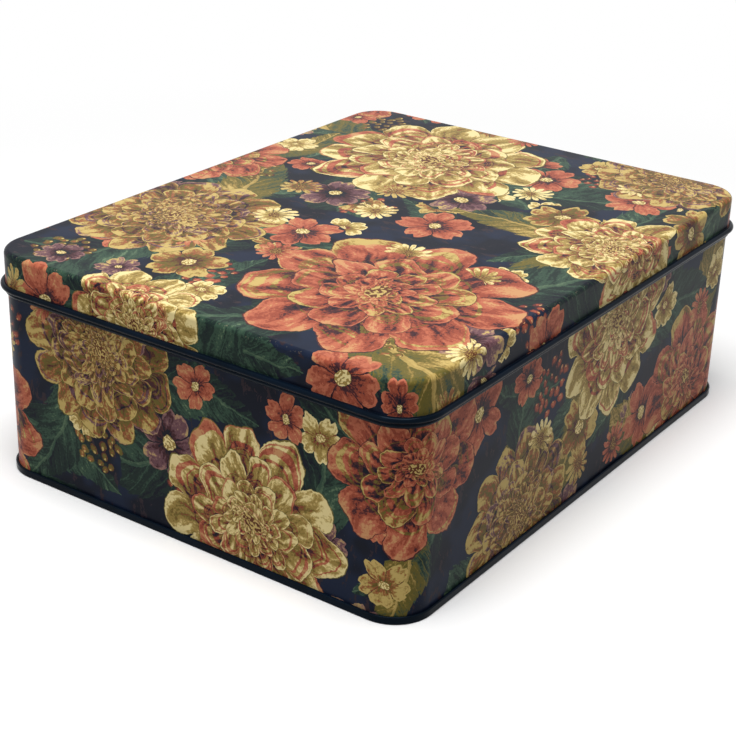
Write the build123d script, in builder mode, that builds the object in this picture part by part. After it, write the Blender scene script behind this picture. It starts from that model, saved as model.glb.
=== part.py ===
from build123d import *

import os
from math import acos, atan, ceil, cos, degrees, radians, sin

# A rectangular slip-lid biscuit tin of thin tinplate, in millimetres.
# The origin is the middle of the surface it stands on, X runs along its long side and +Z is up.
# Each piece is one sheet: the centre line of its cross-section is thickened and swept round the tin.
# In a cross-section "out" is the distance outwards from the outside of the body's wall.

os.makedirs("parts", exist_ok=True)

# Driving dimensions
body_length = 246.0
body_width = 190.0
body_corner_radius = 14.5
overall_height = 91.0
sheet = 0.3

# Bends turn in flat steps of at most these angles: edges that catch the light, curls, and tight folds
edge_step = 18
curl_step = 30
fold_step = 45

# The lid: its fit over the body, its top edge, and the hollow curl at its rim, which starts from a
# tight crease and whose raw edge is tucked inside by that many degrees past the curl's inner side
lid_clearance = 0.35
lid_depth = 15.0
lid_edge_radius = 2.0
lid_crease_radius = 0.1
lid_curl_radius = 1.15
lid_curl_tuck = 20

# The body's stop bead, just below the lid's curl
bead_proud = 1.1
bead_height = 2.8
bead_root_radius = 0.45
bead_to_curl = 0.4

# The rim rolled inwards at the top of the body, which the lid's top rests on
rim_outer_radius = 2.0
rim_flat = 0.4
rim_inner_radius = 0.9
rim_tip_to_wall = 0.3

# The double seam round the bottom
seam_height = 3.0
seam_layer_gap = 0.08
seam_bend_radius = 0.3
seam_hook_clearance = 0.3

# The base panel, recessed inside the seam, with one stiffening step
panel_recess = 3.2
panel_edge_radius = 0.9
panel_step_inset = 9.0
panel_step_height = 0.8
panel_step_radius = 0.6

# The lock seam that joins the sheet's two ends, up the middle of the back
lock_seam_width = 6.0
lock_seam_layers = 4
lock_seam_end_gap = 2.0
lock_seam_groove_width = 0.4
lock_seam_groove_depth = 0.15

# Worked out from them
half_length = body_length / 2
half_width = body_width / 2
half_sheet = sheet / 2
corner_x = half_length - body_corner_radius
corner_y = half_width - body_corner_radius


def bend(centre, radius, start_angle, turn, step):
    """The corners of a faceted bend about a centre, where a positive turn is anticlockwise."""
    steps = ceil(abs(turn) / step)
    angles = [radians(start_angle + turn * i / steps) for i in range(steps + 1)]
    return [(centre[0] + radius * cos(angle), centre[1] + radius * sin(angle)) for angle in angles]


# The path that every cross-section is swept along, from the middle of the front and round to it again
with BuildLine() as wall_line:
    Line((0, -half_width), (-corner_x, -half_width))
    CenterArc((-corner_x, -corner_y), body_corner_radius, 270, -90)
    Line((-half_length, -corner_y), (-half_length, corner_y))
    CenterArc((-corner_x, corner_y), body_corner_radius, 180, -90)
    Line((-corner_x, half_width), (corner_x, half_width))
    CenterArc((corner_x, corner_y), body_corner_radius, 90, -90)
    Line((half_length, corner_y), (half_length, -corner_y))
    CenterArc((corner_x, -corner_y), body_corner_radius, 0, -90)
    Line((corner_x, -half_width), (0, -half_width))

wall_path = wall_line.wires()[0]

# The cross-sections' plane: x is the distance out from the body's wall, and y is the height
section_plane = Plane(origin=(0, -half_width, 0), x_dir=(0, -1, 0), z_dir=(-1, 0, 0))


# The lid: a flat top, a crisp edge, a skirt, and a rim curled out, down and back in, printed side out
lid_skirt_out = lid_clearance + half_sheet
lid_top_z = overall_height - half_sheet
lid_edge_line_radius = lid_edge_radius - half_sheet
lid_edge_centre = (lid_skirt_out - lid_edge_line_radius, lid_top_z - lid_edge_line_radius)
lid_panel_out = lid_edge_centre[0] - lid_edge_radius
lid_curl_centre = (lid_clearance + lid_curl_radius, overall_height - lid_depth + lid_curl_radius)
lid_curl_line_radius = lid_curl_radius - half_sheet

# Crease: its arc touches the skirt and the curl
lid_crease_line_radius = lid_crease_radius + half_sheet
lid_crease_out = lid_skirt_out + lid_crease_line_radius
crease_to_curl = lid_crease_line_radius + lid_curl_line_radius
lid_crease_turn = degrees(acos((lid_crease_out - lid_curl_centre[0]) / crease_to_curl))
lid_crease_centre = (lid_crease_out, lid_curl_centre[1] + crease_to_curl * sin(radians(lid_crease_turn)))
lid_curl_turn = lid_crease_turn + 180 + lid_curl_tuck

with BuildPart() as lid:
    with BuildSketch(section_plane):
        with BuildLine():
            Polyline(
                (lid_panel_out, lid_top_z),
                *bend(lid_edge_centre, lid_edge_line_radius, 90, -90, edge_step),
                *bend(lid_crease_centre, lid_crease_line_radius, 180, lid_crease_turn, fold_step),
                *bend(lid_curl_centre, lid_curl_line_radius, lid_crease_turn, -lid_curl_turn, curl_step)[1:],
            )
        trace(line_width=sheet)
    sweep(path=wall_path)
    with BuildSketch(Plane.XY.offset(overall_height - sheet)):
        RectangleRounded(
            body_length + 2 * lid_panel_out,
            body_width + 2 * lid_panel_out,
            body_corner_radius + lid_panel_out,
        )
    extrude(amount=sheet)


# The body's wall: a hook at the bottom, the stop bead below the lid's curl, and the rim rolled inwards
wall_out = -half_sheet

# Bead: two root arcs and a crown turn by the same angle, and the crown stays clear of the lid's curl
bead_turn = 2 * degrees(atan(2 * bead_proud / bead_height))
bead_crown_radius = bead_height / 2 / sin(radians(bead_turn)) - bead_root_radius
bead_crown_out = bead_proud - half_sheet - bead_crown_radius
bead_root_out = wall_out + bead_root_radius
curl_to_crown = lid_curl_radius + bead_to_curl + bead_crown_radius + half_sheet
curl_to_crown_angle = acos((lid_curl_centre[0] - bead_crown_out) / curl_to_crown)
bead_z = lid_curl_centre[1] - curl_to_crown * sin(curl_to_crown_angle)
bead_lower_root = (bead_root_out, bead_z - bead_height / 2)
bead_crown = (bead_crown_out, bead_z)
bead_upper_root = (bead_root_out, bead_z + bead_height / 2)

# Hook: it stands on the upper face of the seam's bottom, and its tip stays below the seam's top
hook_out = 1.5 * sheet + 2 * seam_layer_gap
hook_bend_z = 1.5 * sheet + seam_bend_radius
hook_tip_z = seam_height - sheet - seam_hook_clearance
hook_outer_centre = (hook_out - seam_bend_radius, hook_bend_z)
hook_inner_centre = (wall_out + seam_bend_radius, hook_bend_z)

# Rim: its flat top touches the underside of the lid's top
rim_line_z = overall_height - sheet - half_sheet
rim_outer_line_radius = rim_outer_radius - half_sheet
rim_outer_centre = (wall_out - rim_outer_line_radius, rim_line_z - rim_outer_line_radius)
rim_inner_line_radius = rim_inner_radius - half_sheet
rim_inner_centre = (rim_outer_centre[0] - rim_flat, rim_line_z - rim_inner_line_radius)
rim_tip = (-sheet - rim_tip_to_wall, rim_line_z - 2 * rim_inner_line_radius)

# Lock seam: a flat band of folded layers inside the wall, with a fine groove outside where they meet.
# The band starts in the middle of the wall's own layer.
lock_seam_bottom_z = panel_recess + sheet + lock_seam_end_gap
lock_seam_top_z = bead_lower_root[1] - lock_seam_end_gap
lock_seam_depth = (lock_seam_layers - 0.5) * sheet
lock_seam_y = half_width - half_sheet - lock_seam_depth / 2
groove_x = lock_seam_width / 2 - lock_seam_groove_width

with BuildPart() as body_wall:
    with BuildSketch(section_plane):
        with BuildLine():
            Polyline(
                (hook_out, hook_tip_z),
                *bend(hook_outer_centre, seam_bend_radius, 0, -90, fold_step),
                *bend(hook_inner_centre, seam_bend_radius, 270, -90, fold_step),
                *bend(bead_lower_root, bead_root_radius, 180, -bead_turn, fold_step),
                *bend(bead_crown, bead_crown_radius, -bead_turn, 2 * bead_turn, curl_step)[1:],
                *bend(bead_upper_root, bead_root_radius, 180 + bead_turn, -bead_turn, fold_step)[1:],
                *bend(rim_outer_centre, rim_outer_line_radius, 0, 90, curl_step),
                *bend(rim_inner_centre, rim_inner_line_radius, 90, 180, fold_step),
                rim_tip,
            )
        trace(line_width=sheet)
    sweep(path=wall_path)
    with BuildSketch(Plane.XY.offset(lock_seam_bottom_z)):
        with Locations((0, lock_seam_y)):
            Rectangle(lock_seam_width, lock_seam_depth)
        chamfer(vertices().group_by(Axis.Y)[0], length=sheet)
    extrude(amount=lock_seam_top_z - lock_seam_bottom_z)
    with BuildSketch(Plane.XY.offset(lock_seam_bottom_z)):
        with BuildLine():
            Polyline(
                (groove_x - lock_seam_groove_width / 2, half_width),
                (groove_x, half_width - lock_seam_groove_depth),
                (groove_x + lock_seam_groove_width / 2, half_width),
                close=True,
            )
        make_face()
    extrude(amount=lock_seam_top_z - lock_seam_bottom_z, mode=Mode.SUBTRACT)


# The base panel: its edge runs down inside the wall, under the wall's hook, up outside it, and over
# and down between the wall and the hook. The five layers lie side by side with a fine gap.
seam_wall_out = 2.5 * sheet + 3 * seam_layer_gap
chuck_wall_out = -1.5 * sheet - seam_layer_gap
end_hook_out = half_sheet + seam_layer_gap
end_hook_tip_z = 2 * sheet + seam_hook_clearance
seam_bottom_bend_z = half_sheet + seam_bend_radius
seam_top_bend_z = seam_height - half_sheet - seam_bend_radius

# Centres of the seam's four bends
seam_inner_bottom = (chuck_wall_out + seam_bend_radius, seam_bottom_bend_z)
seam_outer_bottom = (seam_wall_out - seam_bend_radius, seam_bottom_bend_z)
seam_outer_top = (seam_wall_out - seam_bend_radius, seam_top_bend_z)
seam_inner_top = (end_hook_out + seam_bend_radius, seam_top_bend_z)

panel_line_z = panel_recess + half_sheet
panel_edge_line_radius = panel_edge_radius - half_sheet
panel_edge_centre = (chuck_wall_out - panel_edge_line_radius, panel_line_z - panel_edge_line_radius)

# Two equal arcs make the stiffening step
step_turn = degrees(acos(1 - panel_step_height / 2 / panel_step_radius))
step_run = panel_step_radius * sin(radians(step_turn))
step_upper_centre = (-panel_step_inset - step_run, panel_line_z + panel_step_height - panel_step_radius)
step_lower_centre = (-panel_step_inset + step_run, panel_line_z + panel_step_radius)
middle_panel_out = step_upper_centre[0] - panel_step_radius

with BuildPart() as base_panel:
    with BuildSketch(section_plane):
        with BuildLine():
            Polyline(
                (middle_panel_out, panel_line_z + panel_step_height),
                *bend(step_upper_centre, panel_step_radius, 90, -step_turn, fold_step),
                *bend(step_lower_centre, panel_step_radius, 270 - step_turn, step_turn, fold_step)[1:],
                *bend(panel_edge_centre, panel_edge_line_radius, 90, -90, fold_step),
                *bend(seam_inner_bottom, seam_bend_radius, 180, 90, fold_step),
                *bend(seam_outer_bottom, seam_bend_radius, 270, 90, fold_step),
                *bend(seam_outer_top, seam_bend_radius, 0, 90, fold_step),
                *bend(seam_inner_top, seam_bend_radius, 90, 90, fold_step),
                (end_hook_out, end_hook_tip_z),
            )
        trace(line_width=sheet)
    sweep(path=wall_path)
    with BuildSketch(Plane.XY.offset(panel_recess + panel_step_height)):
        RectangleRounded(
            body_length + 2 * middle_panel_out,
            body_width + 2 * middle_panel_out,
            body_corner_radius + middle_panel_out,
        )
    extrude(amount=sheet)


lid.part.label = "lid"
body_wall.part.label = "body_wall"
base_panel.part.label = "base_panel"

export_step(lid.part, "parts/lid.step")
export_step(body_wall.part, "parts/body_wall.step")
export_step(base_panel.part, "parts/base_panel.step")
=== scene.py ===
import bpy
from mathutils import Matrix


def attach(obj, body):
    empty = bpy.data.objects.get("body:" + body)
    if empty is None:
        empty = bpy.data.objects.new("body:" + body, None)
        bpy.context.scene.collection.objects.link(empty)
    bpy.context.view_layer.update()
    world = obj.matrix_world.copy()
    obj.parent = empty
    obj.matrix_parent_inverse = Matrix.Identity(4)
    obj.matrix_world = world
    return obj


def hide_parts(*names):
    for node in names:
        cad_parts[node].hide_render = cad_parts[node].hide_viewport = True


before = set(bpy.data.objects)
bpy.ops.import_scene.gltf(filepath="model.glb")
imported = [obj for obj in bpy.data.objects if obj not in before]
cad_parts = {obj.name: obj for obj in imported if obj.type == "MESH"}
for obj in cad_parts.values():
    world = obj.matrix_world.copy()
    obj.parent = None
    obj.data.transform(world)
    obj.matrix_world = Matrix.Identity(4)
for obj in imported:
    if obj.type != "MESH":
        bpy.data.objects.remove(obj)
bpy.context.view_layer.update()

import random
from math import acos, atan, cos, degrees, hypot, pi, radians, sin

import bpy
from mathutils import Matrix, Vector

# A biscuit tin of printed tinplate: a lid, a body and a base panel, each one smooth sheet.
# Lengths are in metres. In a cross-section "out" is the distance outwards from the body's wall.
mm = 0.001


# Sizes of the tin, as the CAD model has them
body_length = 246 * mm
body_width = 190 * mm
body_corner_radius = 14.5 * mm
overall_height = 91 * mm
sheet = 0.3 * mm

lid_clearance = 0.35 * mm
lid_depth = 15 * mm
lid_edge_radius = 2 * mm
lid_crease_radius = 0.1 * mm
lid_curl_radius = 1.15 * mm
lid_curl_tuck = 20

bead_proud = 1.1 * mm
bead_height = 2.8 * mm
bead_root_radius = 0.45 * mm
bead_to_curl = 0.4 * mm

rim_outer_radius = 2 * mm
rim_flat = 0.4 * mm
rim_inner_radius = 0.9 * mm
rim_tip_to_wall = 0.3 * mm

seam_height = 3 * mm
seam_layer_gap = 0.08 * mm
seam_bend_radius = 0.3 * mm
seam_hook_clearance = 0.3 * mm

lock_seam_width = 6 * mm
lock_seam_layers = 4
lock_seam_end_gap = 2 * mm
lock_seam_groove_width = 0.4 * mm
lock_seam_groove_depth = 0.15 * mm
groove_run_out = 0.4 * mm
nearest_station = 0.01 * mm

panel_recess = 3.2 * mm
panel_edge_radius = 0.9 * mm
panel_step_inset = 9 * mm
panel_step_height = 0.8 * mm
panel_step_radius = 0.6 * mm

# Bends turn in steps of about these angles, in degrees. A turn of more than the last one is an edge
edge_bend_step = 9
curl_bend_step = 10
root_bend_step = 12
panel_bend_step = 15
seam_bend_step = 18
crease_bend_step = 20
sharp_bend = 30

half_length = body_length / 2
half_width = body_width / 2
half_sheet = sheet / 2
corner_x = half_length - body_corner_radius
corner_y = half_width - body_corner_radius
lock_seam_depth = (lock_seam_layers - 0.5) * sheet
groove_x = lock_seam_width / 2 - lock_seam_groove_width


# Camera: fitted to the tin's outline and seams in the photograph
camera_azimuth = radians(-55.34)
camera_elevation = radians(24.895)
camera_roll = radians(1.841)
camera_target = Vector((-17.13, -3.74, 32.66)) * mm
camera_distance = 673.7 * mm
camera_lens = 82.3

camera_back = Vector((
    sin(camera_azimuth) * cos(camera_elevation),
    -cos(camera_azimuth) * cos(camera_elevation),
    sin(camera_elevation),
))
level_right = (-camera_back).cross(Vector((0, 0, 1))).normalized()
level_up = level_right.cross(-camera_back)
camera_right = level_right * cos(camera_roll) + level_up * sin(camera_roll)
camera_up = level_up * cos(camera_roll) - level_right * sin(camera_roll)

camera = bpy.data.objects.new("camera", bpy.data.cameras.new("camera"))
camera.data.sensor_width = 36
camera.data.lens = camera_lens
camera.data.clip_start = 10 * mm
camera.data.clip_end = 50
turned = Matrix((camera_right, camera_up, camera_back)).transposed().to_4x4()
camera.matrix_world = Matrix.Translation(camera_target + camera_back * camera_distance) @ turned
bpy.context.scene.collection.objects.link(camera)
bpy.context.scene.camera = camera


# Shader nodes
class Nodes:
    """Adds shader nodes to one tree. An input gets a plain value or another node's output.

    The Mix node takes numbers at its inputs 2 and 3, places at 4 and 5, and colours at 6 and 7.
    """

    def __init__(self, tree):
        self.tree = tree

    def add(self, kind, inputs, **settings):
        node = self.tree.nodes.new(kind)
        for name, value in settings.items():
            setattr(node, name, value)
        self.feed(node, inputs)
        return node

    def feed(self, node, inputs):
        for name, value in inputs.items():
            if isinstance(value, bpy.types.NodeSocket):
                self.tree.links.new(value, node.inputs[name])
            else:
                node.inputs[name].default_value = value

    def math(self, operation, *values):
        return self.add("ShaderNodeMath", dict(enumerate(values)), operation=operation).outputs[0]

    def times(self, first, second):
        return self.math("MULTIPLY", first, second)

    def times_plus(self, value, factor, more):
        return self.math("MULTIPLY_ADD", value, factor, more)

    def above(self, value, limit):
        """1 where the value is above the limit, and 0 elsewhere."""
        return self.math("GREATER_THAN", value, limit)

    def below(self, value, limit):
        return self.math("LESS_THAN", value, limit)

    def vector(self, operation, *values):
        node = self.add("ShaderNodeVectorMath", dict(enumerate(values)), operation=operation)
        measures = operation in ("LENGTH", "DISTANCE", "DOT_PRODUCT")
        return node.outputs["Value" if measures else "Vector"]

    def mix(self, factor, first, second):
        """A colour between two."""
        return self.add("ShaderNodeMix", {0: factor, 6: first, 7: second}, data_type="RGBA").outputs[2]

    def choose(self, factor, first, second):
        """A number between two."""
        return self.add("ShaderNodeMix", {0: factor, 2: first, 3: second}).outputs[0]

    def choose_place(self, factor, first, second):
        """A place between two."""
        return self.add("ShaderNodeMix", {0: factor, 4: first, 5: second}, data_type="VECTOR").outputs[1]

    def split(self, place):
        return self.add("ShaderNodeSeparateXYZ", {0: place}).outputs

    def join(self, x, y, z=0.0):
        return self.add("ShaderNodeCombineXYZ", {0: x, 1: y, 2: z}).outputs[0]

    def noise(self, place, scale, detail=2.0, rough=0.5, dimensions="3D"):
        inputs = {"Vector": place, "Scale": scale, "Detail": detail, "Roughness": rough}
        return self.add("ShaderNodeTexNoise", inputs, noise_dimensions=dimensions).outputs["Fac"]

    def noise_shift(self, place, scale, amount, detail=1.0):
        """A place moved about by noise, at most half the amount each way."""
        inputs = {"Vector": place, "Scale": scale, "Detail": detail}
        noise = self.add("ShaderNodeTexNoise", inputs, noise_dimensions="2D")
        centred = self.vector("SUBTRACT", noise.outputs["Color"], (0.5, 0.5, 0.5))
        flat = self.vector("MULTIPLY", centred, (amount, amount, 0))
        return self.vector("ADD", place, flat)

    def ramp(self, value, colours):
        """A colour from evenly spaced ones, for a value from 0 to 1."""
        node = self.add("ShaderNodeValToRGB", {0: value})
        marks = node.color_ramp.elements
        for number in range(1, len(colours) - 1):
            marks.new(number / (len(colours) - 1))
        for mark, colour in zip(marks, colours):
            mark.color = colour
        return node.outputs[0]

    def smooth(self, value, low, high):
        """0 up to the low value and 1 from the high one."""
        inputs = {0: value, 1: low, 2: high}
        return self.add("ShaderNodeMapRange", inputs, interpolation_type="SMOOTHSTEP").outputs[0]


def ink(red, green, blue):
    """A colour given as 0 to 255 on a screen."""
    def linear(level):
        share = level / 255
        return share / 12.92 if share <= 0.04045 else ((share + 0.055) / 1.055) ** 2.4
    return (linear(red), linear(green), linear(blue), 1)


def new_material(name):
    """A material, its node helper and its Principled shader."""
    material = bpy.data.materials.new(name)
    material.use_nodes = True
    return material, Nodes(material.node_tree), material.node_tree.nodes["Principled BSDF"]


# Inks of the print
NAVY = ink(25, 34, 54)
MIDNIGHT = ink(15, 19, 31)
DUSK = ink(48, 38, 44)
PLUM = ink(66, 36, 40)
MAUVE = ink(104, 72, 78)
DUSTY_ROSE = ink(146, 108, 102)
BROWN = ink(96, 54, 36)
OLIVE = ink(104, 94, 44)
OCHRE = ink(158, 132, 72)
GOLD = ink(197, 171, 104)
CREAM = ink(234, 215, 155)
TERRACOTTA = ink(150, 74, 55)
SALMON = ink(184, 104, 78)
PEACH = ink(200, 148, 102)
DEEP_GREEN = ink(28, 42, 38)
GREEN = ink(52, 74, 60)
SAGE = ink(98, 120, 92)

cream_petals = (PLUM, TERRACOTTA, OLIVE, OCHRE, OCHRE, GOLD, CREAM, CREAM)
red_petals = (MIDNIGHT, PLUM, PLUM, TERRACOTTA, TERRACOTTA, SALMON, SALMON, PEACH)
rose_petals = (PLUM, BROWN, OLIVE, OLIVE, TERRACOTTA, OCHRE, GOLD, GOLD)
mauve_petals = (MIDNIGHT, MIDNIGHT, PLUM, PLUM, MAUVE, MAUVE, DUSTY_ROSE, GOLD)
dark_leaf = (MIDNIGHT, MIDNIGHT, DEEP_GREEN, DEEP_GREEN, GREEN, GREEN, SAGE)
pale_leaf = (DEEP_GREEN, GREEN, OLIVE, OLIVE, OCHRE, GOLD)


def petal_colour(nodes, value, kind):
    """Cream for kind 0, red for kind 1, rose for kind 2 and mauve for kind 3."""
    shown = nodes.ramp(value, cream_petals)
    for number, petals in enumerate((red_petals, rose_petals, mauve_petals)):
        reached = nodes.above(kind, number + 0.5)
        shown = nodes.mix(reached, shown, nodes.ramp(value, petals))
    return shown


def polar(nodes, place):
    """Distance from the middle, and the angle in turns."""
    flat = nodes.vector("MULTIPLY", place, (1, 1, 0))
    x, y, _ = nodes.split(flat)
    angle = nodes.math("ARCTAN2", y, x)
    return nodes.vector("LENGTH", flat), nodes.math("DIVIDE", angle, 2 * pi)


def new_motif(name):
    """A group that paints one kind of motif, its nodes, and what it is given.

    Place is x and y from the motif's middle, where its reach is 1, and its kind as the third value.
    Stroke is the dry brush, about 0 on average.
    """
    tree = bpy.data.node_groups.new(name, "ShaderNodeTree")
    tree.interface.new_socket("Place", in_out="INPUT", socket_type="NodeSocketVector")
    tree.interface.new_socket("Stroke", in_out="INPUT", socket_type="NodeSocketFloat")
    tree.interface.new_socket("Colour", in_out="OUTPUT", socket_type="NodeSocketColor")
    tree.interface.new_socket("Mask", in_out="OUTPUT", socket_type="NodeSocketFloat")
    given = tree.nodes.new("NodeGroupInput").outputs
    nodes = Nodes(tree)
    return nodes, given["Place"], nodes.split(given["Place"])[2], given["Stroke"]


def finish_motif(nodes, colour, mask):
    nodes.add("NodeGroupOutput", {"Colour": colour, "Mask": mask})
    return nodes.tree


def rosette(tip=0.72, rings_per_petal=0.24, heart_radius=0.09):
    """A full double bloom: rings of petals that shrink towards the middle, each over the one outside it."""
    nodes, place, kind, stroke = new_motif("rosette")
    radius, turns = polar(nodes, nodes.noise_shift(place, 2.3, 0.2))

    # Red blooms have 9 petals to a ring, rose ones 13 and the others 11
    is_red = nodes.math("COMPARE", kind, 1, 0.1)
    is_rose = nodes.math("COMPARE", kind, 2, 0.1)
    petals = nodes.times_plus(is_rose, 2, nodes.times_plus(is_red, -2, 11))
    turn = nodes.times(turns, petals)

    # Each ring is smaller than the one outside it by the same share, so rings go by the logarithm
    rings = nodes.times(petals, -rings_per_petal)
    depth = nodes.times_plus(nodes.math("LOGARITHM", radius, 2.71828), rings, -tip)
    ring = nodes.math("FLOOR", depth)
    into_ring = nodes.math("SUBTRACT", depth, ring)

    def across(ring_number):
        """Place across the petal of that ring, from -0.5 to 0.5."""
        shifted = nodes.times_plus(ring_number, 0.5, turn)
        return nodes.math("SUBTRACT", nodes.math("FRACT", shifted), 0.5)

    def tip_height(place_across):
        doubled = nodes.times(place_across, 2)
        negative = nodes.times(doubled, -1)
        rest = nodes.math("MAXIMUM", nodes.times_plus(doubled, negative, 1), 0)
        return nodes.times(nodes.math("POWER", rest, 0.6), tip)

    own_across = across(ring)
    next_across = across(nodes.math("ADD", ring, 1))
    over = nodes.math("SUBTRACT", tip_height(next_across), nodes.math("SUBTRACT", 1, into_ring))
    in_front = nodes.above(over, 0)
    from_tip = nodes.choose(in_front, nodes.math("ADD", into_ring, tip_height(own_across)), over)
    place_across = nodes.choose(in_front, own_across, next_across)
    shown_ring = nodes.math("ADD", ring, in_front)
    number = nodes.math("FLOOR", nodes.times_plus(shown_ring, 0.5, turn))
    own_number = nodes.times_plus(shown_ring, 7.3, nodes.times(number, 3.7))

    # Light near a petal's lip and dark at its foot, in brush strokes that run along it
    strokes_at = nodes.join(
        nodes.times_plus(place_across, 3.0, own_number),
        nodes.times(from_tip, 0.7),
    )
    strokes = nodes.noise(strokes_at, 1.5, 3, 0.6, "2D")
    value = nodes.times_plus(from_tip, -0.4, 0.86)
    value = nodes.times_plus(nodes.math("ABSOLUTE", place_across), -0.3, value)
    value = nodes.math("ADD", value, nodes.times_plus(strokes, 1.9, -0.95))
    value = nodes.math("ADD", value, stroke)
    lip = nodes.below(from_tip, nodes.times(strokes, 0.18))
    value = nodes.choose(nodes.times(lip, 0.6), value, 0.97)
    rim = nodes.below(from_tip, 0.03)
    value = nodes.choose(nodes.times(rim, 0.8), value, 0.15)

    # Each petal has broad patches of the next palette
    patch = nodes.noise(nodes.join(own_number, nodes.times(from_tip, 2.2)), 1, 2, 0.7, "2D")
    nearby_kind = nodes.math("ADD", kind, nodes.smooth(patch, 0.58, 0.6))
    shown = petal_colour(nodes, value, nearby_kind)

    # Close-set stamens in the middle
    heart = nodes.below(radius, heart_radius)
    dots = nodes.above(nodes.noise(place, 34, 0, 0.5, "2D"), 0.52)
    shown = nodes.mix(heart, shown, nodes.mix(dots, BROWN, GOLD))
    return finish_motif(nodes, shown, nodes.above(shown_ring, -0.5))


def five_petal(petals=5, eye_radius=0.17):
    """A small single flower of five notched petals round a pale eye."""
    nodes, place, kind, stroke = new_motif("five_petal")
    radius, turns = polar(nodes, place)
    turn = nodes.times(turns, petals)
    across = nodes.math("SUBTRACT", nodes.math("FRACT", turn), 0.5)
    away = nodes.math("ABSOLUTE", across)
    shoulder = nodes.math("POWER", nodes.times(away, 2), 2.4)
    notch = nodes.math("MAXIMUM", nodes.math("SUBTRACT", 0.12, away), 0)
    outline = nodes.times_plus(shoulder, -0.36, 0.97)
    outline = nodes.times_plus(notch, -1.1, outline)
    to_lip = nodes.math("SUBTRACT", outline, radius)

    strokes_at = nodes.join(nodes.times(turn, 4), nodes.times(radius, 2))
    strokes = nodes.noise(strokes_at, 1.3, 2, 0.6, "2D")
    value = nodes.times_plus(nodes.smooth(radius, 0.12, 0.62), 0.5, 0.2)
    value = nodes.math("ADD", value, nodes.times_plus(strokes, 0.9, -0.45))
    value = nodes.math("ADD", value, stroke)
    lip = nodes.below(to_lip, nodes.times(strokes, 0.2))
    value = nodes.choose(nodes.times(lip, 0.6), value, 0.98)
    gap = nodes.above(away, 0.475)
    value = nodes.choose(gap, value, 0.08)
    shown = petal_colour(nodes, value, kind)
    dots = nodes.above(nodes.noise(place, 16, 0, 0.5, "2D"), 0.5)
    shown = nodes.mix(nodes.below(radius, eye_radius), shown, nodes.mix(dots, OCHRE, CREAM))
    return finish_motif(nodes, shown, nodes.above(to_lip, 0))


def daisy(petals=13, heart_radius=0.27):
    """A small daisy of narrow petals round a brown heart."""
    nodes, place, kind, stroke = new_motif("daisy")
    radius, turns = polar(nodes, place)
    turn = nodes.times(turns, petals)
    away = nodes.math("ABSOLUTE", nodes.math("SUBTRACT", nodes.math("FRACT", turn), 0.5))
    rounded = nodes.math("POWER", nodes.times(away, 2.3), 3)
    to_tip = nodes.math("SUBTRACT", nodes.times_plus(rounded, -0.4, 0.97), radius)
    inside = nodes.above(to_tip, 0)
    narrow = nodes.below(away, 0.41)
    heart = nodes.below(radius, heart_radius)

    strokes_at = nodes.join(nodes.times(turn, 2.3), nodes.times(radius, 2))
    strokes = nodes.noise(strokes_at, 1.5, 2, 0.6, "2D")
    value = nodes.times_plus(nodes.smooth(radius, 0.2, 0.7), 0.42, 0.42)
    value = nodes.math("ADD", value, nodes.times_plus(strokes, 0.8, -0.4))
    value = nodes.math("ADD", value, stroke)
    shown = petal_colour(nodes, value, kind)
    dots = nodes.above(nodes.noise(place, 15, 0, 0.5, "2D"), 0.53)
    shown = nodes.mix(heart, shown, nodes.mix(dots, BROWN, OCHRE))
    return finish_motif(nodes, shown, nodes.math("MAXIMUM", nodes.times(inside, narrow), heart))


def leaf():
    """A leaf along its own X, from its stalk at -1 to its tip at 1. Kind 0 is dark green and kind 1 pale."""
    nodes, place, kind, stroke = new_motif("leaf")
    x, y, _ = nodes.split(place)
    squared = nodes.times(x, x)
    side = nodes.math("SUBTRACT", y, nodes.times_plus(squared, 0.16, -0.05))
    away = nodes.math("ABSOLUTE", side)
    length_left = nodes.math("MAXIMUM", nodes.math("SUBTRACT", 1, squared), 0)
    taper = nodes.times_plus(x, -0.13, 0.38)
    breadth = nodes.times(nodes.math("POWER", length_left, 0.8), taper)
    slanted = nodes.times_plus(away, -1.2, x)
    teeth = nodes.math("FRACT", nodes.times(slanted, 5.5))
    breadth = nodes.times(breadth, nodes.times_plus(teeth, 0.14, 0.88))

    strokes_at = nodes.join(nodes.times(slanted, 8), nodes.times(side, 4))
    strokes = nodes.noise(strokes_at, 1.0, 3, 0.65, "2D")
    upper = nodes.above(side, 0)
    value = nodes.times_plus(upper, 0.24, 0.36)
    value = nodes.math("ADD", value, nodes.times_plus(strokes, 1.3, -0.65))
    value = nodes.math("ADD", value, stroke)
    vein = nodes.below(teeth, 0.1)
    midrib = nodes.below(away, nodes.times_plus(x, -0.014, 0.022))
    line = nodes.math("MAXIMUM", nodes.times(vein, 0.5), midrib)
    value = nodes.choose(nodes.times(line, 0.75), value, 1.0)
    dark = nodes.ramp(value, dark_leaf)
    pale = nodes.ramp(value, pale_leaf)
    shown = nodes.mix(nodes.above(kind, 0.5), dark, pale)
    return finish_motif(nodes, shown, nodes.above(breadth, away))


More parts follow.
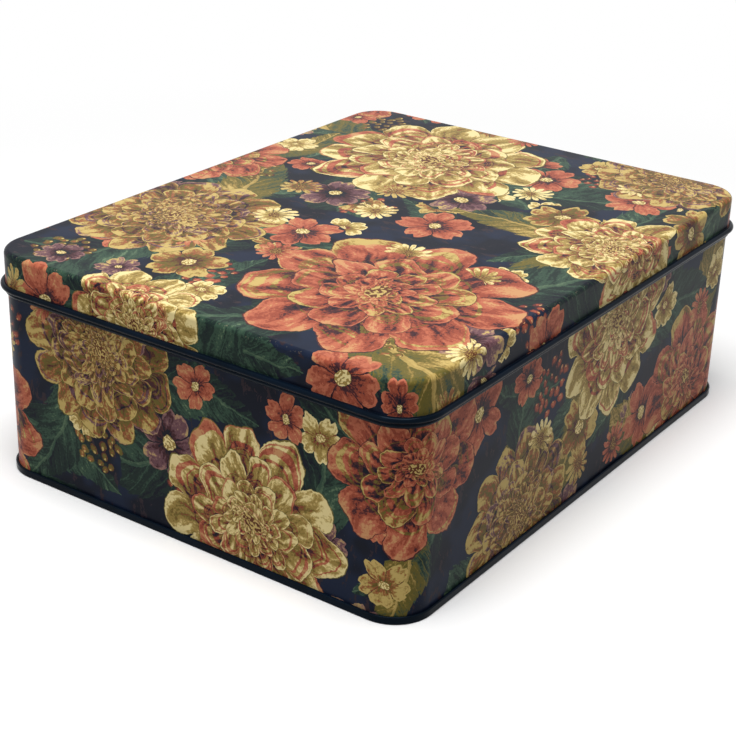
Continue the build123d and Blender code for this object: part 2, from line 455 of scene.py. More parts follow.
def berries(berry_radius=0.4, cluster_radius=0.82):
    """A round cluster of berries, each with a spot of light."""
    nodes, place, kind, stroke = new_motif("berries")
    flat = nodes.vector("MULTIPLY", place, (1, 1, 0))
    cells = nodes.add(
        "ShaderNodeTexVoronoi",
        {"Vector": flat, "Scale": 3.2, "Randomness": 0.55},
        voronoi_dimensions="2D",
    )
    held = nodes.below(nodes.vector("LENGTH", cells.outputs["Position"]), cluster_radius)
    distance = cells.outputs["Distance"]
    value = nodes.math("ADD", nodes.times_plus(distance, -1.2, 0.66), stroke)
    from_centre = nodes.vector("SUBTRACT", flat, cells.outputs["Position"])
    light = nodes.below(nodes.vector("DISTANCE", from_centre, (-0.05, 0.06, 0)), 0.035)
    shown = petal_colour(nodes, nodes.choose(light, value, 1.0), nodes.math("ADD", kind, 1))
    return finish_motif(nodes, shown, nodes.times(nodes.below(distance, berry_radius), held))


motif_groups = {
    "rosette": rosette(),
    "five_petal": five_petal(),
    "daisy": daisy(),
    "leaf": leaf(),
    "berries": berries(),
}


# Laying out the print, in millimetres on the flat sheet
# A local place outside every motif, and how far past its reach a motif is looked for
FAR_OFF = (9.0, 9.0, 0.0)
MARGIN = 1.05


def placed(nodes, place, motifs, local=FAR_OFF):
    """Local places of motifs, each (x, y, size, turn in degrees, kind). Later ones lie over earlier ones.

    A place on the sheet has a third value of 1, so that one product both moves and turns it.
    """
    for x, y, size, turn, kind in motifs:
        right = cos(radians(turn)) / size
        up = sin(radians(turn)) / size
        local_x = nodes.vector("DOT_PRODUCT", place, (right, up, -x * right - y * up))
        local_y = nodes.vector("DOT_PRODUCT", place, (-up, right, x * up - y * right))
        within = nodes.below(nodes.vector("DISTANCE", place, (x, y, 1)), size * MARGIN)
        local = nodes.choose_place(within, local, nodes.join(local_x, local_y, kind))
    return local


def strewn(nodes, place, spacing, size, share, kinds, local=FAR_OFF):
    """Local places of small motifs strewn one to a cell, in that share of the cells, over those so far.

    The cells are shifted by the layer's own sizes, so that no two layers lie alike.
    """
    shifted = nodes.vector("ADD", place, (spacing * 5.3, size * 7.1, 0))
    cells = nodes.add(
        "ShaderNodeTexVoronoi",
        {"Vector": shifted, "Scale": 1 / spacing, "Randomness": 0.6},
        voronoi_dimensions="2D",
    )
    by_chance = nodes.add("ShaderNodeSeparateColor", {0: cells.outputs["Color"]}).outputs
    offset = nodes.vector("SUBTRACT", shifted, cells.outputs["Position"])
    turned = nodes.add(
        "ShaderNodeVectorRotate",
        {"Vector": offset, "Angle": nodes.times(by_chance[0], 2 * pi)},
        rotation_type="Z_AXIS",
    )
    scaled = nodes.vector("MULTIPLY", turned.outputs[0], (1 / size, 1 / size, 0))
    lowest, highest = kinds
    kind = nodes.math("FLOOR", nodes.times_plus(by_chance[1], highest - lowest + 0.99, lowest))
    within = nodes.below(nodes.vector("LENGTH", scaled), 1.0)
    grown = nodes.times(within, nodes.below(by_chance[2], share))
    x, y, _ = nodes.split(scaled)
    return nodes.choose_place(grown, local, nodes.join(x, y, kind))


def leaves_round(motifs, seed, each, reach):
    """Leaves that look out from under blooms, about two dark ones to each pale one."""
    chance = random.Random(seed)
    found = []
    for x, y, size, _, _ in motifs:
        first = chance.uniform(0, 360)
        for number in range(each):
            angle = first + 360 * number / each + chance.uniform(-18, 18)
            length = size * chance.uniform(*reach)
            away = size * 0.8 + length * 0.6
            leaf_x = x + away * cos(radians(angle))
            leaf_y = y + away * sin(radians(angle))
            found.append((leaf_x, leaf_y, length, angle + chance.uniform(-25, 25), chance.choice((0, 0, 1))))
    return found


def print_colour(nodes, blooms, leaves, fullness):
    """The whole print: a dark ground with layers of motifs painted over it, by the sheet's own map.

    Fullness is how much of the ground between the blooms is strewn over, up to 1.
    """
    on_sheet = nodes.add("ShaderNodeUVMap", {}, uv_map="FlatSheet").outputs[0]
    flat = nodes.vector("ADD", on_sheet, (0, 0, 1))
    place = nodes.noise_shift(nodes.noise_shift(flat, 0.08, 4.0), 0.55, 1.0, 2.0)
    grain = nodes.noise(flat, 0.95, 3, 0.7, "2D")
    patches = nodes.noise(flat, 0.05, 2, 0.5, "2D")
    stroke = nodes.times_plus(grain, 0.75, nodes.times_plus(patches, 0.9, -0.83))

    ground = nodes.mix(nodes.smooth(patches, 0.4, 0.62), MIDNIGHT, NAVY)
    brushed = nodes.noise(nodes.vector("MULTIPLY", place, (0.25, 0.09, 0)), 1, 4, 0.7, "2D")
    paper = nodes.mix(nodes.smooth(brushed, 0.6, 0.63), ground, DUSK)

    def paint(paper, name, local, where=None):
        given = {"Place": local, "Stroke": stroke}
        painted = nodes.add("ShaderNodeGroup", given, node_tree=motif_groups[name])
        mask = painted.outputs["Mask"]
        if where is not None:
            mask = nodes.times(mask, where)
        return nodes.mix(mask, paper, painted.outputs["Colour"])

    grown = strewn(nodes, place, spacing=46, size=24, share=0.8 * fullness, kinds=(0, 0))
    paper = paint(paper, "leaf", grown)
    paper = paint(paper, "leaf", placed(nodes, place, leaves[::2]))
    paper = paint(paper, "leaf", placed(nodes, place, leaves[1::2]))
    fruit = strewn(nodes, place, spacing=52, size=14, share=0.5 * fullness, kinds=(0, 1))
    paper = paint(paper, "berries", fruit)
    small = strewn(nodes, place, spacing=26, size=10, share=0.55 * fullness, kinds=(0, 3))
    small = strewn(nodes, place, spacing=43, size=16, share=0.75 * fullness, kinds=(1, 3), local=small)
    paper = paint(paper, "five_petal", small)
    blooms_at = placed(nodes, place, blooms)
    paper = paint(paper, "rosette", blooms_at)
    from_bloom = nodes.vector("LENGTH", nodes.vector("MULTIPLY", blooms_at, (1, 1, 0)))
    clear = nodes.above(from_bloom, 0.72)
    daisies = strewn(nodes, place, spacing=33, size=9, share=0.5 * fullness, kinds=(0, 2))
    return paint(paper, "daisy", daisies, clear)


# The lid's blooms
lid_blooms = [
    (-66, -42, 54, 20, 1),
    (72, 28, 52, 65, 0),
    (-52, 66, 42, 10, 2),
    (26, -86, 35, 40, 0),
    (116, -68, 36, 15, 2),
    (-134, 22, 31, 75, 0),
    (16, 104, 33, 30, 1),
    (132, 102, 30, 0, 1),
]
lid_leaves = leaves_round(lid_blooms, 5, 4, (0.75, 1.05))

# The body's blooms, along the wall from the middle of the back and up from the bottom
wall_blooms = [
    (40, 30, 39, 0, 0),
    (118, 64, 33, 30, 1),
    (190, 24, 38, 60, 2),
    (262, 60, 34, 10, 0),
    (338, 18, 36, 50, 1),
    (408, 66, 39, 25, 0),
    (474, 12, 36, 80, 2),
    (540, 58, 34, 15, 1),
    (606, 18, 40, 35, 0),
    (676, 64, 36, 70, 2),
    (744, 20, 36, 5, 1),
    (812, 62, 33, 45, 0),
]
wall_leaves = leaves_round(wall_blooms, 8, 3, (0.7, 1.0))


# Colours of the finishes
RUBBED_PRINT = ink(176, 164, 138)
DARK_COAT = ink(5, 12, 21)
LIGHT_COAT = ink(8, 20, 34)
RUBBED_COAT = ink(70, 92, 118)
DULL_TIN = ink(176, 178, 178)
BRIGHT_TIN = ink(208, 209, 206)

# Width of the rubbed strip beside an edge
rubbed_width = 2 * mm


def lacquer_finish(nodes, shader, base_roughness, peel_depth):
    """Baked lacquer: a slight unevenness of gloss, fine orange peel and a faint waviness of the sheet.

    The scales of its noise, and of the other finishes, are per metre.
    """
    place = nodes.add("ShaderNodeTexCoord", {}).outputs["Object"]
    clouds = nodes.noise(place, 45, 3)
    specks = nodes.noise(place, 900, 2)
    gloss = nodes.times_plus(clouds, 0.1, base_roughness - 0.08)
    gloss = nodes.times_plus(specks, 0.06, gloss)
    peel = nodes.add("ShaderNodeBump", {"Height": specks, "Strength": 0.08, "Distance": peel_depth})
    waves = nodes.noise(place, 22, 1)
    wavy = nodes.add(
        "ShaderNodeBump",
        {"Height": waves, "Strength": 0.25, "Distance": 0.6 * mm, "Normal": peel.outputs[0]},
    )
    nodes.feed(shader, {"Roughness": gloss, "Normal": wavy.outputs[0]})


def printed_tinplate(name, blooms, leaves, fullness):
    """The print, rubbed pale in a few spots where a hand or another tin meets a corner or the top edge."""
    material, nodes, shader = new_material(name)
    place = nodes.add("ShaderNodeTexCoord", {}).outputs["Object"]
    from_middle = nodes.vector("ABSOLUTE", place)
    x, y, z = nodes.split(from_middle)
    to_end = nodes.smooth(x, half_length - rubbed_width, half_length)
    to_side = nodes.smooth(y, half_width - rubbed_width, half_width)
    to_top = nodes.smooth(z, overall_height - 3 * mm, overall_height - 0.5 * mm)
    on_end_edge = nodes.times(to_end, nodes.math("MAXIMUM", to_side, to_top))
    on_edge = nodes.math("MAXIMUM", on_end_edge, nodes.times(to_side, to_top))
    spots = nodes.noise(place, 700, 4, 0.75)
    rubbed = nodes.smooth(nodes.times_plus(on_edge, 0.08, spots), 0.7, 0.74)
    shown = print_colour(nodes, blooms, leaves, fullness)
    shown = nodes.mix(nodes.times(rubbed, 0.45), shown, RUBBED_PRINT)
    nodes.feed(shader, {"Base Color": shown, "Specular IOR Level": 0.06})
    lacquer_finish(nodes, shader, 0.36, 0.05 * mm)
    return material


def navy_lacquer():
    """Smooth dark lacquer on the rims, rubbed in a few spots."""
    material, nodes, shader = new_material("navy_lacquer")
    place = nodes.add("ShaderNodeTexCoord", {}).outputs["Object"]
    tone = nodes.smooth(nodes.noise(place, 60, 3), 0.3, 0.75)
    coat = nodes.mix(tone, DARK_COAT, LIGHT_COAT)
    rubs = nodes.smooth(nodes.noise(place, 420, 4, 0.7), 0.72, 0.8)
    coat = nodes.mix(nodes.times(rubs, 0.3), coat, RUBBED_COAT)
    blue_gloss = {"Specular IOR Level": 0.06, "Specular Tint": (0.55, 0.78, 1.0, 1)}
    nodes.feed(shader, {"Base Color": coat, **blue_gloss})
    lacquer_finish(nodes, shader, 0.13, 0.01 * mm)
    return material


def bare_tinplate():
    """Tinned steel: rolled grain and cloudy tin."""
    material, nodes, shader = new_material("bare_tinplate")
    place = nodes.add("ShaderNodeTexCoord", {}).outputs["Object"]
    rolled = nodes.vector("MULTIPLY", place, (30, 1100, 1100))
    grain = nodes.noise(rolled, 1, 3, 0.6)
    clouds = nodes.noise(place, 38, 4, 0.6)
    tone = nodes.times_plus(clouds, 0.5, nodes.times(grain, 0.5))
    metal = nodes.mix(nodes.smooth(tone, 0.3, 0.7), DULL_TIN, BRIGHT_TIN)
    gloss = nodes.times_plus(grain, 0.16, nodes.times_plus(clouds, 0.12, 0.2))
    bump = nodes.add("ShaderNodeBump", {"Height": grain, "Strength": 0.12, "Distance": 0.03 * mm})
    finish = {"Base Color": metal, "Metallic": 1.0, "Roughness": gloss, "Normal": bump.outputs[0]}
    nodes.feed(shader, finish)
    return material


lid_print = printed_tinplate("printed_lid", lid_blooms, lid_leaves, 1.0)
wall_print = printed_tinplate("printed_wall", wall_blooms, wall_leaves, 0.6)
rim_lacquer = navy_lacquer()
tinplate = bare_tinplate()


# The path that every cross-section is swept along
def wall_stations(corner_steps=18):
    """Stations round the wall from the middle of the back, each (x, y, normal x, normal y, distance)."""
    groove = ((groove_x + side * lock_seam_groove_width / 2, half_width) for side in (-1, 0, 1))
    sides = (
        ((0, half_width), *groove, (corner_x, half_width)),
        ((half_length, corner_y), (half_length, 0), (half_length, -corner_y)),
        ((corner_x, -half_width), (0, -half_width), (-corner_x, -half_width)),
        ((-half_length, -corner_y), (-half_length, 0), (-half_length, corner_y)),
        ((-corner_x, half_width), (0, half_width)),
    )
    corners = ((corner_x, corner_y), (corner_x, -corner_y), (-corner_x, -corner_y), (-corner_x, corner_y))
    stations = []
    corner_ends = []
    travelled = 0.0
    for number, side in enumerate(sides):
        normal_angle = radians(90 - 90 * number)
        normal = (cos(normal_angle), sin(normal_angle))
        for point in side:
            if point is not side[0]:
                travelled += hypot(point[0] - stations[-1][0], point[1] - stations[-1][1])
            stations.append((*point, *normal, travelled))
        if number == len(corners):
            break
        for step in range(1, corner_steps):
            share = step / corner_steps
            angle = normal_angle - pi / 2 * share
            x = corners[number][0] + body_corner_radius * cos(angle)
            y = corners[number][1] + body_corner_radius * sin(angle)
            along = travelled + body_corner_radius * pi / 2 * share
            stations.append((x, y, cos(angle), sin(angle), along))
        travelled += body_corner_radius * pi / 2
        corner_ends.append(travelled)
    return stations, corner_ends


stations, corner_ends = wall_stations()


def arc(centre, radius, start, turn, step=edge_bend_step):
    """Points round part of a circle, where a positive turn is anticlockwise."""
    count = max(2, round(abs(turn) / step))
    angles = [radians(start + turn * i / count) for i in range(count + 1)]
    return [(centre[0] + radius * cos(a), centre[1] + radius * sin(a)) for a in angles]


def beside(line, distance):
    """A line moved to its left by a distance, with mitred corners."""
    moved = []
    for number, point in enumerate(line):
        before = line[max(number - 1, 0)]
        after = line[min(number + 1, len(line) - 1)]
        into = Vector((point[0] - before[0], point[1] - before[1]))
        out_of = Vector((after[0] - point[0], after[1] - point[1]))
        into = (into if number else out_of).normalized()
        out_of = (out_of if number < len(line) - 1 else into).normalized()
        middle = (into + out_of).normalized()
        stretch = distance / middle.dot(into)
        moved.append((point[0] - middle.y * stretch, point[1] + middle.x * stretch))
    return moved


# Each piece also has a map on which none of its faces overlap, for baking. Its numbers are shares of
# the image: the outside gets most of it, and the inside gets the room that is left.
image_gap = 0.005
plate_share = 0.9
wall_share = 0.86
row_starts = (0.0, corner_ends[1], corner_ends[2])
row_ends = (corner_ends[1], corner_ends[2], stations[-1][4])


def on_plate_image(is_outside, x, y, furthest):
    """A plate and the rim that turns down from it, opened out flat."""
    length = 2 * (half_length + furthest)
    width = 2 * (half_width + furthest)
    share = plate_share / length
    bottom = image_gap
    if not is_outside:
        bottom += width * share + image_gap
        share = (1 - image_gap - bottom) / width
    return (image_gap + (x + length / 2) * share, bottom + (y + width / 2) * share)


def on_wall_image(is_outside, around, row_at, along, depth):
    """A wall opened out flat, with its outside in rows that end at corners."""
    share = wall_share / max(end - start for start, end in zip(row_starts, row_ends))
    row_height = (depth + sheet) * share + image_gap
    if is_outside:
        row = max(number for number, start in enumerate(row_starts) if start <= row_at)
        return (image_gap + (around - row_starts[row]) * share, image_gap + row * row_height + along * share)
    bottom = image_gap + len(row_starts) * row_height
    share = min((1 - 2 * image_gap) / row_ends[-1], (1 - image_gap - bottom) / (depth + sheet))
    return (image_gap + around * share, bottom + (along + sheet) * share)


def add_backing(backing, corners, faces, places, image_places):
    """A closed upright strip, opened out on the image beside the rows of the wall."""
    outline, bottom, top = backing
    first = len(corners)
    count = len(outline)
    corners += [(x, y, height) for height in (bottom, top) for x, y in outline]
    girth = 2 * lock_seam_width + 2 * lock_seam_depth
    share = (1 - wall_share - 4 * image_gap) / girth
    left = 1 - image_gap - girth * share
    travelled = 0.0
    for number in range(count):
        after = (number + 1) % count
        x, y = outline[number]
        next_x, next_y = outline[after]
        step = hypot(next_x - x, next_y - y)
        faces.append([first + number, first + after, first + count + after, first + count + number])
        for across, height in ((0, bottom), (step, bottom), (step, top), (0, top)):
            places.append(((travelled + across) / mm, height / mm))
            image_places.append((left + (travelled + across) * share, image_gap + (height - bottom) * share))
        travelled += step
    end_bottom = 2 * image_gap + (top - bottom) * share
    for is_top, order in ((0, range(count - 1, -1, -1)), (1, range(count))):
        faces.append([first + is_top * count + number for number in order])
        for number in order:
            x, y = outline[number]
            places.append((x / mm, y / mm))
            end_left = left + is_top * (lock_seam_width * share + image_gap)
            image_x = end_left + (x + lock_seam_width / 2) * share
            image_places.append((image_x, end_bottom + (half_width - y) * share))


def swept_sheet(name, body, runs, place_on_sheet, middle_plate, pressed_in=None, backing=None):
    """A sheet swept round the tin. Its centre line is runs of (outside material, points).

    The outside is to the line's left, and the inside is bare tinplate.
    place_on_sheet gives a point's place on the flat sheet from its station, its distance along the
    centre line and its out and height. middle_plate is "start" or "end" where the line goes on to the
    middle of the tin, or None. pressed_in gives how far the outside is pressed in at a station and
    height. backing is the (x, y) corners and the lowest and highest z of a strip behind the sheet.
    """
    line = [point for _, points in runs for point in points]
    outside = [material for material, points in runs for _ in points]
    finishes = [tinplate, *{material.name: material for material in outside}.values()]
    along = [0.0]
    for first, second in zip(line, line[1:]):
        along.append(along[-1] + hypot(second[0] - first[0], second[1] - first[1]))
    count = len(line)
    depth = along[-1]
    section = beside(line, half_sheet) + beside(line, -half_sheet)[::-1]
    section_along = along + along[::-1]
    around = len(stations) - 1

    corners = []
    for ring, (out, height) in enumerate(section):
        for station in stations[:-1]:
            x, y, normal_x, normal_y, _ = station
            pressed = pressed_in(station, height) if pressed_in and ring < count else 0
            corners.append((x + normal_x * (out - pressed), y + normal_y * (out - pressed), height))

    faces, marks, places, image_places = [], [], [], []

    def add(corner_keys, finish, is_outside, alongs):
        """A face from its (ring, station) corners, each with its distance along the opened sheet."""
        faces.append([ring * around + station % around for ring, station in corner_keys])
        marks.append(finishes.index(finish))
        row_at = min(stations[station][4] for _, station in corner_keys)
        for (ring, number), opened in zip(corner_keys, alongs):
            station = stations[number]
            out, height = section[ring]
            places.append(place_on_sheet(station, section_along[ring], out, height))
            if middle_plate is None:
                image_place = on_wall_image(is_outside, station[4], row_at, opened, depth)
            else:
                plate_out = line[0][0] if middle_plate == "start" else line[-1][0]
                reach = plate_out + (opened if middle_plate == "start" else depth - opened)
                x = station[0] + station[2] * reach
                y = station[1] + station[3] * reach
                image_place = on_plate_image(is_outside, x, y, plate_out + depth + sheet)
            image_places.append(image_place)

    for ring in range(len(section)):
        following = (ring + 1) % len(section)
        closes_start = following == 0
        closes_end = ring == count - 1
        if (closes_start and middle_plate == "start") or (closes_end and middle_plate == "end"):
            continue
        finish = outside[following] if following < count and not closes_start else tinplate
        near, far = section_along[ring], section_along[following]
        if closes_end:
            far = depth + sheet
        if closes_start:
            far = -sheet
        for station in range(around):
            keys = ((ring, station), (ring, station + 1), (following, station + 1), (following, station))
            add(keys, finish, ring < count, (near, near, far, far))
    if middle_plate:
        outer = 0 if middle_plate == "start" else count - 1
        inner = len(section) - 1 - outer
        plate_along = [section_along[outer]] * around
        add([(outer, station) for station in reversed(range(around))], outside[outer], True, plate_along)
        add([(inner, station) for station in range(around)], tinplate, False, plate_along)

    if backing:
        add_backing(backing, corners, faces, places, image_places)
        marks += [0] * (len(faces) - len(marks))

    mesh = bpy.data.meshes.new(name)
    mesh.from_pydata(corners, [], faces)
    for finish in finishes:
        mesh.materials.append(finish)
    mesh.polygons.foreach_set("material_index", marks)
    flat_sheet = mesh.uv_layers.new(name="FlatSheet")
    flat_sheet.data.foreach_set("uv", [value for place in places for value in place])
    image = mesh.uv_layers.new(name="OFBake")
    image.data.foreach_set("uv", [value for place in image_places for value in place])
    mesh.polygons.foreach_set("use_smooth", [True] * len(faces))
    mesh.set_sharp_from_angle(angle=radians(sharp_bend))
    piece = bpy.data.objects.new(name, mesh)
    bpy.context.scene.collection.objects.link(piece)
    even = piece.modifiers.new("even_normals", "WEIGHTED_NORMAL")
    even.keep_sharp = True
    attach(piece, body)
    return piece


# The lid
lid_skirt_out = lid_clearance + half_sheet
lid_top_z = overall_height - half_sheet
lid_edge_line_radius = lid_edge_radius - half_sheet
lid_edge_centre = (lid_skirt_out - lid_edge_line_radius, lid_top_z - lid_edge_line_radius)
lid_panel_out = lid_edge_centre[0] - lid_edge_radius
lid_curl_centre = (lid_clearance + lid_curl_radius, overall_height - lid_depth + lid_curl_radius)
lid_curl_line_radius = lid_curl_radius - half_sheet
lid_crease_line_radius = lid_crease_radius + half_sheet
lid_crease_out = lid_skirt_out + lid_crease_line_radius
crease_to_curl = lid_crease_line_radius + lid_curl_line_radius
lid_crease_turn = degrees(acos((lid_crease_out - lid_curl_centre[0]) / crease_to_curl))
lid_crease_centre = (lid_crease_out, lid_curl_centre[1] + crease_to_curl * sin(radians(lid_crease_turn)))
lid_curl_turn = lid_crease_turn + 180 + lid_curl_tuck
lid_edge_line = arc(lid_edge_centre, lid_edge_line_radius, 90, -90)
lid_crease_line = arc(lid_crease_centre, lid_crease_line_radius, 180, lid_crease_turn, crease_bend_step)
lid_curl_line = arc(lid_curl_centre, lid_curl_line_radius, lid_crease_turn, -lid_curl_turn, curl_bend_step)


def on_lid_sheet(station, distance, out, height):
    x, y, normal_x, normal_y, _ = station
    reach = lid_panel_out + distance
    return ((x + normal_x * reach) / mm, (y + normal_y * reach) / mm)


lid = swept_sheet(
    "lid_shell",
    "lid",
    (
        (lid_print, [(lid_panel_out, lid_top_z), *lid_edge_line, *lid_crease_line[:3]]),
        (rim_lacquer, lid_crease_line[3:]),
        (rim_lacquer, lid_curl_line[1:]),
    ),
    on_lid_sheet,
    middle_plate="start",
)
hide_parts("lid")


# The body's wall, from the rim rolled inwards down to the hook in the seam
wall_out = -half_sheet
bead_turn = 2 * degrees(atan(2 * bead_proud / bead_height))
bead_crown_radius = bead_height / 2 / sin(radians(bead_turn)) - bead_root_radius
bead_crown_out = bead_proud - half_sheet - bead_crown_radius
bead_root_out = wall_out + bead_root_radius
curl_to_crown = lid_curl_radius + bead_to_curl + bead_crown_radius + half_sheet
curl_to_crown_angle = acos((lid_curl_centre[0] - bead_crown_out) / curl_to_crown)
bead_z = lid_curl_centre[1] - curl_to_crown * sin(curl_to_crown_angle)
bead_lower_root = (bead_root_out, bead_z - bead_height / 2)
bead_crown = (bead_crown_out, bead_z)
bead_upper_root = (bead_root_out, bead_z + bead_height / 2)

hook_out = 1.5 * sheet + 2 * seam_layer_gap
hook_bend_z = 1.5 * sheet + seam_bend_radius
hook_tip_z = seam_height - sheet - seam_hook_clearance
hook_outer_centre = (hook_out - seam_bend_radius, hook_bend_z)
hook_inner_centre = (wall_out + seam_bend_radius, hook_bend_z)

rim_line_z = overall_height - sheet - half_sheet
rim_outer_line_radius = rim_outer_radius - half_sheet
rim_outer_centre = (wall_out - rim_outer_line_radius, rim_line_z - rim_outer_line_radius)
rim_inner_line_radius = rim_inner_radius - half_sheet
rim_inner_centre = (rim_outer_centre[0] - rim_flat, rim_line_z - rim_inner_line_radius)
rim_tip = (-sheet - rim_tip_to_wall, rim_line_z - 2 * rim_inner_line_radius)

# Lock seam: a band inside the wall, and a fine groove outside that runs out at both ends
lock_seam_bottom_z = panel_recess + sheet + lock_seam_end_gap
lock_seam_top_z = bead_lower_root[1] - lock_seam_end_gap
lock_seam_out_y = half_width - half_sheet
lock_seam_in_y = lock_seam_out_y - lock_seam_depth
lock_seam_outline = (
    (lock_seam_width / 2, lock_seam_out_y),
    (-lock_seam_width / 2, lock_seam_out_y),
    (-lock_seam_width / 2, lock_seam_in_y + sheet),
    (sheet - lock_seam_width / 2, lock_seam_in_y),
    (lock_seam_width / 2 - sheet, lock_seam_in_y),
    (lock_seam_width / 2, lock_seam_in_y + sheet),
)
groove_heights = (
    lock_seam_top_z,
    lock_seam_top_z - groove_run_out,
    lock_seam_bottom_z + groove_run_out,
    lock_seam_bottom_z,
)


def on_wall_sheet(station, distance, out, height):
    return (station[4] / mm, height / mm)


def seam_groove(station, height):
    """How far the groove outside the lock seam presses the wall in. It is in the middle of the back."""
    x, y, *_ = station
    at_groove = abs(x - groove_x) < nearest_station and y > 0
    return lock_seam_groove_depth if at_groove and groove_heights[2] <= height <= groove_heights[1] else 0


body_wall = swept_sheet(
    "body_shell",
    "tin",
    (
        (rim_lacquer, [rim_tip]),
        (rim_lacquer, arc(rim_inner_centre, rim_inner_line_radius, 270, -180)),
        (rim_lacquer, arc(rim_outer_centre, rim_outer_line_radius, 90, -90)),
        (rim_lacquer, arc(bead_upper_root, bead_root_radius, 180, bead_turn, root_bend_step)),
        (rim_lacquer, arc(bead_crown, bead_crown_radius, bead_turn, -2 * bead_turn)[1:]),
        (rim_lacquer, arc(bead_lower_root, bead_root_radius, 180 - bead_turn, bead_turn, root_bend_step)[1:]),
        (wall_print, [(wall_out, height) for height in groove_heights]),
        (wall_print, arc(hook_inner_centre, seam_bend_radius, 180, 90, seam_bend_step)),
        (rim_lacquer, arc(hook_outer_centre, seam_bend_radius, 270, 90, seam_bend_step)),
        (rim_lacquer, [(hook_out, hook_tip_z)]),
    ),
    on_wall_sheet,
    middle_plate=None,
    pressed_in=seam_groove,
    backing=(lock_seam_outline, lock_seam_bottom_z, lock_seam_top_z),
)
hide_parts("body_wall")


# The base panel, from the end hook inside the seam round to the middle
seam_wall_out = 2.5 * sheet + 3 * seam_layer_gap
chuck_wall_out = -1.5 * sheet - seam_layer_gap
end_hook_out = half_sheet + seam_layer_gap
end_hook_tip_z = 2 * sheet + seam_hook_clearance
seam_bottom_bend_z = half_sheet + seam_bend_radius
seam_top_bend_z = seam_height - half_sheet - seam_bend_radius
seam_inner_bottom = (chuck_wall_out + seam_bend_radius, seam_bottom_bend_z)
seam_outer_bottom = (seam_wall_out - seam_bend_radius, seam_bottom_bend_z)
seam_outer_top = (seam_wall_out - seam_bend_radius, seam_top_bend_z)
seam_inner_top = (end_hook_out + seam_bend_radius, seam_top_bend_z)

panel_line_z = panel_recess + half_sheet
panel_edge_line_radius = panel_edge_radius - half_sheet
panel_edge_centre = (chuck_wall_out - panel_edge_line_radius, panel_line_z - panel_edge_line_radius)
step_turn = degrees(acos(1 - panel_step_height / 2 / panel_step_radius))
step_run = panel_step_radius * sin(radians(step_turn))
step_upper_centre = (-panel_step_inset - step_run, panel_line_z + panel_step_height - panel_step_radius)
step_lower_centre = (-panel_step_inset + step_run, panel_line_z + panel_step_radius)
middle_panel_out = step_upper_centre[0] - panel_step_radius
step_upper_line = arc(step_upper_centre, panel_step_radius, 90 - step_turn, step_turn, panel_bend_step)


def on_base_sheet(station, distance, out, height):
    x, y, normal_x, normal_y, _ = station
    return ((x + normal_x * out) / mm, (y + normal_y * out) / mm)


base_panel = swept_sheet(
    "base_shell",
    "tin",
    (
        (rim_lacquer, [(end_hook_out, end_hook_tip_z)]),
        (rim_lacquer, arc(seam_inner_top, seam_bend_radius, 180, -90, seam_bend_step)),
        (rim_lacquer, arc(seam_outer_top, seam_bend_radius, 90, -90, seam_bend_step)),
        (rim_lacquer, arc(seam_outer_bottom, seam_bend_radius, 0, -90, seam_bend_step)),
        (rim_lacquer, arc(seam_inner_bottom, seam_bend_radius, 270, -90, seam_bend_step)),
        (rim_lacquer, arc(panel_edge_centre, panel_edge_line_radius, 0, 90, panel_bend_step)),
        (rim_lacquer, arc(step_lower_centre, panel_step_radius, 270, -step_turn, panel_bend_step)),
        (rim_lacquer, step_upper_line[1:]),
        (rim_lacquer, [(middle_panel_out, panel_line_z + panel_step_height)]),
    ),
    on_base_sheet,
    middle_plate="end",
)
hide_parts("base_panel")


# What the camera, gloss and glass see is white, and what lights the object is duller
def seen_directly(nodes):
    """1 for a ray from the camera, a reflection or glass, and 0 for other light."""
    rays = nodes.add("ShaderNodeLightPath", {}).outputs
    seen = nodes.math("MAXIMUM", rays["Is Camera Ray"], rays["Is Glossy Ray"])
    return nodes.math("MAXIMUM", seen, rays["Is Transmission Ray"])


# The floor, whose shadow fades out between the two distances from the middle
floor_reach = 12.0
floor_seen = (0.95, 0.95, 0.95, 1)
floor_lighting = (0.34, 0.34, 0.34, 1)
shadow_kept = 0.2
shadow_gone = 0.55

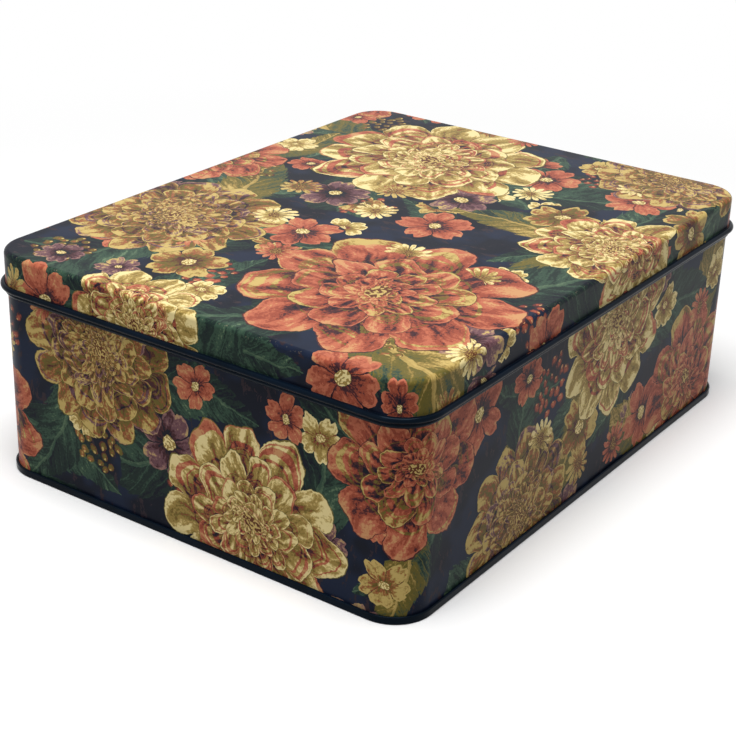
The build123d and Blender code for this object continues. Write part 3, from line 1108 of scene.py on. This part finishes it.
floor_mesh = bpy.data.meshes.new("floor")
floor_corners = [(-1, -1), (1, -1), (1, 1), (-1, 1)]
floor_places = [(x * floor_reach, y * floor_reach, 0) for x, y in floor_corners]
floor_mesh.from_pydata(floor_places, [], [(0, 1, 2, 3)])
floor = bpy.data.objects.new("floor", floor_mesh)
bpy.context.scene.collection.objects.link(floor)

floor_paint, nodes, shader = new_material("floor_paint")
spot = nodes.add("ShaderNodeNewGeometry", {}).outputs["Position"]
far = nodes.smooth(nodes.vector("LENGTH", spot), shadow_kept, shadow_gone)
seen = seen_directly(nodes)
paint_tone = nodes.mix(seen, floor_lighting, floor_seen)
nodes.feed(shader, {"Base Color": paint_tone, "Roughness": 0.9, "Specular IOR Level": 0.0})
white = nodes.add("ShaderNodeEmission", {"Color": (1, 1, 1, 1), "Strength": 1.0})
shown_white = nodes.times(seen, far)
blended = nodes.add("ShaderNodeMixShader", {0: shown_white, 1: shader.outputs[0], 2: white.outputs[0]})
output = next(node for node in nodes.tree.nodes if node.type == "OUTPUT_MATERIAL")
nodes.feed(output, {"Surface": blended.outputs[0]})
floor_mesh.materials.append(floor_paint)


# Soft studio light
lamps_aimed_at = Vector((0, 0, 40 * mm))
sky_lighting = 0.3
sky_seen = 1.0


def softbox(name, place, size, watts):
    lamp = bpy.data.lights.new(name, "AREA")
    lamp.size = size
    lamp.energy = watts
    holder = bpy.data.objects.new(name, lamp)
    holder.location = place
    aim = lamps_aimed_at - holder.location
    holder.rotation_euler = aim.to_track_quat("-Z", "Y").to_euler()
    bpy.context.scene.collection.objects.link(holder)


softbox("top_light", place=(-0.25, -0.1, 1.3), size=0.9, watts=19)
softbox("left_light", place=(-1.3, 0.25, 0.75), size=0.9, watts=2)

world = bpy.data.worlds.new("studio")
bpy.context.scene.world = world
world.use_nodes = True
nodes = Nodes(world.node_tree)
strength = nodes.choose(seen_directly(nodes), sky_lighting, sky_seen)
nodes.feed(world.node_tree.nodes["Background"], {"Color": (1, 1, 1, 1), "Strength": strength})

bpy.context.scene.view_settings.view_transform = "Standard"
